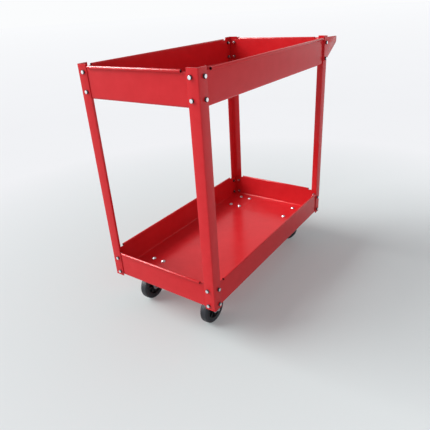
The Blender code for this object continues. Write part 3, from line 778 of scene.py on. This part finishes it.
def weld_ring_tree():
    """A fillet weld: overlapping beads on a ring in the XZ plane, round every point."""
    tree, given = new_tree("weld_ring", {"Beads": 24, "Ring Radius": 0.0098, "Bead Radius": 0.002})
    ring = add(
        tree, "GeometryNodeMeshCircle", {"Vertices": given["Beads"], "Radius": given["Ring Radius"]}
    )
    bead = add(
        tree, "GeometryNodeMeshUVSphere", {"Segments": 12, "Rings": 8, "Radius": given["Bead Radius"]}
    )
    beads = add(
        tree,
        "GeometryNodeInstanceOnPoints",
        {"Points": ring.outputs["Mesh"], "Instance": bead.outputs["Mesh"]},
    )
    upright = add(
        tree, "GeometryNodeTransform", {"Geometry": beads.outputs[0], "Rotation": (math.pi / 2, 0, 0)}
    )
    rings = add(
        tree,
        "GeometryNodeInstanceOnPoints",
        {"Points": given["Geometry"], "Instance": upright.outputs[0]},
    )
    return end_tree(tree, rings.outputs[0], ENAMEL)


# Trays


def raise_edges(bm, edges, outward, out, up):
    """Extrudes the edges by a step outward and a step up, and returns the new edges."""
    made = bmesh.ops.extrude_edge_only(bm, edges=edges)["geom"]
    verts = [item for item in made if isinstance(item, bmesh.types.BMVert)]
    bmesh.ops.translate(bm, vec=outward * out + UP * up, verts=verts)
    return [item for item in made if isinstance(item, bmesh.types.BMEdge)]


def raise_wall(bm, edges, outward, roll_limit, depth):
    """Folds one wall up from the floor's edge and rolls its rim outward."""
    middle = TRAY_SHEET / 2
    reach, height = 0.0, middle
    for out, up in arc((0, TRAY_BEND_RADIUS), TRAY_BEND_RADIUS - middle, -90, 0, BEND_STEPS)[1:]:
        edges = raise_edges(bm, edges, outward, out - reach, up - height)
        reach, height = out, up
    along = Vector((abs(outward.y), abs(outward.x), 0))
    edges = raise_edges(bm, edges, outward, 0, RELIEF_HEIGHT - height)
    for end in {vert for edge in edges for vert in edge.verts}:
        place_along = end.co.dot(along)
        if abs(place_along) > roll_limit:
            end.co += along * math.copysign(TRAY_BEND_RADIUS - TRAY_CORNER_RELIEF, place_along)
    height = depth - NOTCH_DROP
    edges = raise_edges(bm, edges, outward, 0, height - RELIEF_HEIGHT)
    edges = [edge for edge in edges if all(abs(vert.co.dot(along)) < roll_limit for vert in edge.verts)]
    roll = ROLL_DIAMETER / 2 - middle
    reach = 0.0
    for out, up in arc((roll, depth - ROLL_DIAMETER / 2), roll, 180, 180 - ROLL_SWEEP, ROLL_STEPS):
        edges = raise_edges(bm, edges, outward, out - reach, up - height)
        reach, height = out, up


def mark_painted_roll_shade(mesh, middle, half):
    """Marks the faces inside the rolled rims, which are painted near black as painted shade. The middle is
    at the rims' height.
    """
    marks = mesh.attributes.new("unsprayed", "FLOAT", "FACE")
    roll = ROLL_DIAMETER / 2
    for face, mark in zip(mesh.polygons, marks.data):
        place = face.center - middle
        beyond = [abs(place[axis]) - half[axis] - roll + TRAY_SHEET for axis in (0, 1)]
        reach = min(math.hypot(out, place.z + roll) for out in beyond)
        mark.value = float(reach < roll - TRAY_SHEET / 2)


def folded_tray(node):
    """A tray folded from one sheet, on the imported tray's box."""
    low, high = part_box(node)
    corner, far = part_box("leg_front_left")[0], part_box("leg_rear_right")[1]
    middle = (corner + far) / 2
    half = (far - corner) / 2 - Vector((TRAY_OFFSET, TRAY_OFFSET, 0))
    rows = []
    for axis in (0, 1):
        edge = half[axis] - TRAY_BEND_RADIUS
        leg = half[axis] + TRAY_OFFSET
        right_end = (ROLL_END, ROLL_END_RIGHT)[axis]
        rows.append((-edge, ROLL_END - leg, leg - right_end, edge))
    bm = bmesh.new()
    grid = [[bm.verts.new((x, y, TRAY_SHEET / 2)) for y in rows[1]] for x in rows[0]]
    for i in range(3):
        for j in range(3):
            bm.faces.new((grid[i][j], grid[i + 1][j], grid[i + 1][j + 1], grid[i][j + 1]))
    rim = [edge for edge in bm.edges if edge.is_boundary]
    for outward, across in (((1, 0, 0), 1), ((-1, 0, 0), 1), ((0, 1, 0), 0), ((0, -1, 0), 0)):
        outward = Vector(outward)
        limit = max(vert.co.dot(outward) for edge in rim for vert in edge.verts)
        edges = [edge for edge in rim if all(vert.co.dot(outward) > limit - SLACK for vert in edge.verts)]
        raise_wall(bm, edges, outward, rows[across][2] + SLACK, high.z - low.z)
    bmesh.ops.recalc_face_normals(bm, faces=bm.faces)
    made = from_bmesh(node + "_enamelled", bm)
    made.location = (middle.x, middle.y, low.z)
    wall = made.modifiers.new("sheet thickness", "SOLIDIFY")
    wall.thickness = TRAY_SHEET
    wall.offset = 0
    wall.use_even_offset = True
    rounded_edges(made, SHEARED_EDGE, 60)
    settled(made, ENAMEL, sharp=40)
    mark_painted_roll_shade(made.data, Vector((middle.x, middle.y, high.z)), half)
    fitted(made, FRAME_BODY, "red_enamel", node)


# Legs and their bolts


def angle_legs():
    """Four legs of equal steel angle with a rolled outer corner."""
    low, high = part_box("leg_front_left")
    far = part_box("leg_rear_right")[1]
    flange = high.x - low.x
    tip = LEG_TIP_RADIUS
    inner = LEG_CORNER_RADIUS - LEG_SHEET
    section = arc((LEG_CORNER_RADIUS, LEG_CORNER_RADIUS), LEG_CORNER_RADIUS, 270, 180, 8)
    section += arc((tip, flange - tip), tip, 180, 90, 3)
    section += arc((LEG_SHEET - tip, flange - tip), tip, 90, 0, 3)
    section += arc((LEG_SHEET + inner, LEG_SHEET + inner), inner, 180, 270, 4)
    section += arc((flange - tip, LEG_SHEET - tip), tip, 90, 0, 3)
    section += arc((flange - tip, tip), tip, 0, -90, 3)
    mesh = bpy.data.meshes.new("angle_legs")
    count = len(section)
    mesh.from_pydata([(x, y, 0) for x, y in section], [(i, (i + 1) % count) for i in range(count)], [])
    made = new_object("angle_legs", mesh)
    made.location = ((low.x + far.x) / 2, 0, 0)
    sizes = {"Frame Length": far.x - low.x, "Frame Width": far.y - low.y, "Foot": low.z, "Top": high.z}
    grown(made, angle_leg_tree(), sizes, ENAMEL)
    fitted(made, FRAME_BODY, "red_enamel", *["leg_" + corner for corner in CORNERS])


def leg_bolt_rows(at_bracket):
    """Where the leg bolts stand: those through the handle's brackets, or the others."""
    rows, nodes = [], []
    for node in sorted(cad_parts):
        if not node.startswith("bolt_"):
            continue
        _, tray, end, side, face, _ = node.split("_")
        on_bracket = tray == "upper" and end == "rear" and face == "side"
        if on_bracket != at_bracket:
            continue
        leg_low, leg_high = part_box(f"leg_{end}_{side}")
        low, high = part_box(node)
        place = (low + high) / 2
        if face == "end":
            outward = Vector((-1 if end == "front" else 1, 0, 0))
            place.x = leg_low.x if end == "front" else leg_high.x
        else:
            outward = Vector((0, -1 if side == "left" else 1, 0))
            place.y = leg_low.y if side == "left" else leg_high.y
        rows.append((place, outward, UP))
        nodes.append(node)
    return rows, nodes


def leg_bolts(tree):
    """Zinc-plated hexagon bolts through the legs and the trays' walls, each left at its own turn."""
    for name, at_bracket, packing, seed in (
        ("leg_bolts", False, 0, 5),
        ("handle_bracket_bolts", True, BRACKET_SHEET + BOLT_GAP, 8),
    ):
        rows, nodes = leg_bolt_rows(at_bracket)
        sizes = {
            "Seat": packing + BOLT_GAP,
            "Grip": LEG_GRIP,
            "Spread": math.radians(BOLT_TURN),
            "Seed": seed,
        }
        made = grown(points_object(name, rows), tree, sizes, BOLT_ZINC)
        fitted(made, FRAME_BODY, "zinc_plate", *nodes)


# Push handle


def push_handle():
    """The tube between its two brackets, with the welds that hold it."""
    made = eased("push_handle", SHEARED_EDGE, "push_handle_enamelled", ENAMEL, sharp=25)
    fitted(made, FRAME_BODY, "red_enamel", "push_handle")
    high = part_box("push_handle")[1]
    tip_top = max(vert.co.z for vert in made.data.vertices if vert.co.x > high.x - HANDLE_TUBE_BACK)
    tube_x = high.x - HANDLE_TUBE_BACK
    tube_z = tip_top - HANDLE_TUBE_BELOW
    inner = high.y - BRACKET_SHEET
    mesh = bpy.data.meshes.new("handle_welds")
    mesh.from_pydata([(tube_x, -inner, tube_z), (tube_x, inner, tube_z)], [], [])
    welds = grown(new_object("handle_welds", mesh), weld_ring_tree(), {}, ENAMEL, sharp=60)
    fitted(welds, FRAME_BODY, "red_enamel")


# Casters


def caster_centre(corner):
    kind = "caster_bracket_" if corner.startswith("front") else "caster_plate_"
    low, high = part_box(kind + corner)
    return (low + high) / 2


def floor_bolt_heads():
    """The round heads on the lower tray's floor that hold the caster plates."""
    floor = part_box("lower_tray")[0].z + TRAY_SHEET
    rows = []
    for corner in CORNERS:
        centre = caster_centre(corner)
        for x in (-PLATE_BOLT_SPACING[0] / 2, PLATE_BOLT_SPACING[0] / 2):
            for y in (-PLATE_BOLT_SPACING[1] / 2, PLATE_BOLT_SPACING[1] / 2):
                rows.append(((centre.x + x, centre.y + y, floor), UP, Vector((1, 0, 0))))
    made = grown(points_object("caster_bolt_heads", rows), round_head_tree(), {}, CASTER_ZINC)
    fitted(made, FRAME_BODY, "zinc_plate")


def tyre_profile():
    """A flat tread with a fine parting line, rounded shoulders and a step in the sidewall."""
    half = TYRE_WIDTH / 2
    chamfer = 0.0008
    step, step_run = 0.0004, 0.0005
    step_radius = WHEEL_RADIUS - 0.008
    shoulder = 0.005
    flat = half - shoulder
    parting, parting_top = 0.0003, 0.0002
    crown = WHEEL_RADIUS - parting
    upper = [(TYRE_BORE_RADIUS, half - chamfer), (TYRE_BORE_RADIUS + chamfer, half)]
    upper += [(step_radius - step_run, half), (step_radius, half - step)]
    upper += arc((crown - shoulder, flat), shoulder, 75, 8, 6)
    upper += [(crown, flat * 0.4), (crown, 2 * parting), (WHEEL_RADIUS, parting_top)]
    return upper + [(radius, -height) for radius, height in reversed(upper)]


def core_profile():
    """Half a rim, a dished web and a hub, mirrored."""
    seat_gap, chamfer, hub_edge, hub_root, dish, rim_edge = 0.0006, 0.0006, 0.001, 0.002, 0.003, 0.0008
    rim = TYRE_BORE_RADIUS - seat_gap
    dish_radius = rim - 0.0075
    rim_inside = rim - 0.003
    hub = CORE_HUB_WIDTH / 2
    web = 0.004
    lip = TYRE_WIDTH / 2 - rim_edge
    upper = [(CORE_BORE_RADIUS, hub - chamfer), (CORE_BORE_RADIUS + chamfer, hub)]
    upper += arc((CORE_HUB_RADIUS - hub_edge, hub - hub_edge), hub_edge, 90, 0, 3)
    upper += arc((CORE_HUB_RADIUS + hub_root, web + hub_root), hub_root, 180, 270, 4)
    upper += arc((dish_radius, web + dish), dish, 270, 345, 4)
    upper += arc((rim_inside, lip), rim_edge, 165, 90, 2)
    upper += arc((rim - rim_edge, lip), rim_edge, 90, 0, 2)
    return upper + [(radius, -height) for radius, height in reversed(upper)]


def wheels(bolt_tree):
    """A rubber tyre on a ribbed core, turning on a hexagon bolt through the fork."""
    core_tree = ribbed_core_tree()
    for corner in CORNERS:
        rear = corner.startswith("rear")
        low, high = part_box("tyre_" + corner)
        centre = (low + high) / 2
        lie = Matrix.Rotation(math.pi / 2, 4, "Y") if rear else Matrix.Rotation(-math.pi / 2, 4, "X")
        place = Matrix.Translation(centre) @ lie
        tyre = turned("moulded_tyre_" + corner, tyre_profile(), RUBBER)
        tyre.data.transform(place)
        fitted(tyre, "wheel_" + corner, "black_rubber", "tyre_" + corner)
        core = turned("moulded_core_" + corner, core_profile(), POLYPROPYLENE)
        grown(core, core_tree, {}, POLYPROPYLENE, sharp=35)
        core.data.transform(place)
        fitted(core, "wheel_" + corner, "dark_polypropylene", "wheel_core_" + corner)
        axle_low, axle_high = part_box("axle_" + corner)
        along = Vector((1, 0, 0)) if rear else Vector((0, 1, 0))
        head_ahead = (axle_high - centre).dot(along) < (centre - axle_low).dot(along)
        outward = along if head_ahead else -along
        rows = [(centre + outward * FORK_WIDTH / 2, outward, UP)]
        sizes = {
            "Corner Radius": AXLE_CORNER,
            "Nut": AXLE_NUT,
            "Shank Radius": AXLE_SHANK / 2,
            "Grip": FORK_WIDTH + BOLT_GAP,
        }
        axle = grown(points_object("axle_bolt_" + corner, rows), bolt_tree, sizes, BOLT_ZINC)
        fitted(axle, "swivel_" + corner if rear else FRAME_BODY, "zinc_plate", "axle_" + corner)


def caster_irons():
    """Pressed brackets, plates, forks and kingpins, with the eased edges that stamping and plating
    leave."""
    inside_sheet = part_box("lower_tray")[0].z + TRAY_SHEET / 2
    for corner in CORNERS:
        if corner.startswith("front"):
            bracket = "caster_bracket_" + corner
            made = eased(
                bracket, PRESSED_EDGE, "pressed_bracket_" + corner, CASTER_ZINC, cut_above=inside_sheet
            )
            fitted(made, FRAME_BODY, "zinc_plate", bracket)
        else:
            plate, pin, fork = "caster_plate_" + corner, "kingpin_" + corner, "caster_fork_" + corner
            made = eased(
                plate, PLATE_EDGE, "pressed_plate_" + corner, CASTER_ZINC, cut_above=inside_sheet
            )
            fitted(made, FRAME_BODY, "zinc_plate", plate)
            made = eased(pin, PIN_EDGE, "riveted_" + pin, CASTER_ZINC)
            fitted(made, FRAME_BODY, "zinc_plate", pin)
            made = eased(fork, PRESSED_EDGE, "pressed_fork_" + corner, CASTER_ZINC)
            fitted(made, "swivel_" + corner, "zinc_plate", fork)


# Studio


def floor_material():
    """Matt white studio paper, with painted shade round the cart: darker there, and a little cool
    to offset the red light that the cart throws on it. It goes over to the plain white of the
    backdrop further out, so that no horizon shows."""
    made, tree, place = new_material("matt_studio_paper")
    fibre = add(
        tree, "ShaderNodeTexNoise", {"Vector": place, "Scale": 1 / 0.6, "Detail": 3.0, "Roughness": 0.6}
    )
    paper = add(
        tree,
        "ShaderNodeMix",
        {0: fibre.outputs[0], 6: linear("#EEEFF1"), 7: linear("#F0F1F3")},
        data_type="RGBA",
    )
    reach = add(tree, "ShaderNodeVectorMath", {0: place}, operation="LENGTH")
    unshaded_share = add(
        tree,
        "ShaderNodeMapRange",
        {"Value": reach.outputs["Value"], "From Min": PAINTED_SHADE_FROM, "From Max": PAINTED_SHADE_TO},
    )
    # Painted shade round the cart: darker, cooler paper near it
    painted_shade_paper = add(
        tree,
        "ShaderNodeMix",
        {0: unshaded_share.outputs[0], 6: linear("#C9D4D3"), 7: paper.outputs[2]},
        data_type="RGBA",
    )
    # The share of the backdrop's white grows with the logarithm of the distance
    times = add(tree, "ShaderNodeMath", {0: reach.outputs["Value"], 1: BACKDROP_FROM}, operation="DIVIDE")
    span = BACKDROP_TO / BACKDROP_FROM
    way = add(tree, "ShaderNodeMath", {0: times.outputs[0], 1: span}, operation="LOGARITHM")
    far = add(tree, "ShaderNodeMapRange", {"Value": way.outputs[0], "To Min": BACKDROP_SHARE})
    matt = add(tree, "ShaderNodeBsdfDiffuse", {"Color": painted_shade_paper.outputs[2], "Roughness": 0.0})
    white = add(tree, "ShaderNodeEmission", {"Color": linear("#FAFBFD"), "Strength": 1.0})
    blend = add(tree, "ShaderNodeMixShader", {0: far.outputs[0], 1: matt.outputs[0], 2: white.outputs[0]})
    add(tree, "ShaderNodeOutputMaterial", {"Surface": blend.outputs[0]})
    return made


def studio_floor():
    bm = bmesh.new()
    bmesh.ops.create_circle(bm, cap_ends=True, radius=FLOOR_RADIUS, segments=64)
    floor = from_bmesh("studio_floor", bm)
    floor.data.materials.append(floor_material())


def pale_room():
    """An even pale room. What the camera, gloss and glass see of it is the white backdrop, and matt
    surfaces get a plain level of light from it."""
    world = bpy.data.worlds.new("studio")
    bpy.context.scene.world = world
    world.use_nodes = True
    tree = world.node_tree
    tree.nodes.clear()
    rays = add(tree, "ShaderNodeLightPath").outputs
    seen = add(
        tree, "ShaderNodeMath", {0: rays["Is Camera Ray"], 1: rays["Is Glossy Ray"]}, operation="MAXIMUM"
    )
    seen = add(
        tree, "ShaderNodeMath", {0: seen.outputs[0], 1: rays["Is Transmission Ray"]}, operation="MAXIMUM"
    )
    room = add(tree, "ShaderNodeBackground", {"Color": linear("#FAFBFE"), "Strength": ROOM_LIGHT})
    backdrop = add(tree, "ShaderNodeBackground", {"Color": linear("#FBFCFD"), "Strength": 1.0})
    mixed = add(
        tree, "ShaderNodeMixShader", {0: seen.outputs[0], 1: room.outputs[0], 2: backdrop.outputs[0]}
    )
    add(tree, "ShaderNodeOutputWorld", {"Surface": mixed.outputs[0]})


def key_light():
    """One large soft light from the front right."""
    light = bpy.data.lights.new("soft_key_light", "SUN")
    light.energy = KEY_STRENGTH
    light.angle = math.radians(KEY_ANGLE)
    lamp = new_object("soft_key_light", light)
    lamp.rotation_euler = Vector(KEY_DIRECTION).to_track_quat("Z", "Y").to_euler()


def diffuser_face():
    """The lit face of the key's diffuser, which only gloss shows, as the line along a rolled rim."""
    diffuser = bpy.data.lights.new("diffuser_face", "AREA")
    diffuser.shape = "RECTANGLE"
    diffuser.size, diffuser.size_y = DIFFUSER_SIZE
    diffuser.energy = DIFFUSER_POWER
    face = new_object("diffuser_face", diffuser)
    towards = Vector(DIFFUSER_DIRECTION).normalized()
    face.location = towards * DIFFUSER_DISTANCE
    face.rotation_euler = towards.to_track_quat("Z", "Y").to_euler()
    face.visible_diffuse = False


def photograph_camera():
    data = bpy.data.cameras.new("photograph_camera")
    data.sensor_width = SENSOR_WIDTH
    data.lens = LENS
    data.clip_end = CLIP_END
    camera = new_object("photograph_camera", data)
    right = Vector(CAMERA_RIGHT).normalized()
    up = -Vector(CAMERA_DOWN)
    back = right.cross(up).normalized()
    turn = Matrix((right, back.cross(right), back)).transposed().to_4x4()
    camera.matrix_world = Matrix.Translation(CAMERA_PLACE) @ turn
    bpy.context.scene.camera = camera


photograph_camera()
studio_floor()
pale_room()
key_light()
diffuser_face()
bpy.context.scene.view_settings.view_transform = "Standard"

folded_tray("upper_tray")
folded_tray("lower_tray")
angle_legs()
BOLT_TREE = hexagon_bolt_tree()
leg_bolts(BOLT_TREE)
push_handle()
floor_bolt_heads()
wheels(BOLT_TREE)
caster_irons()
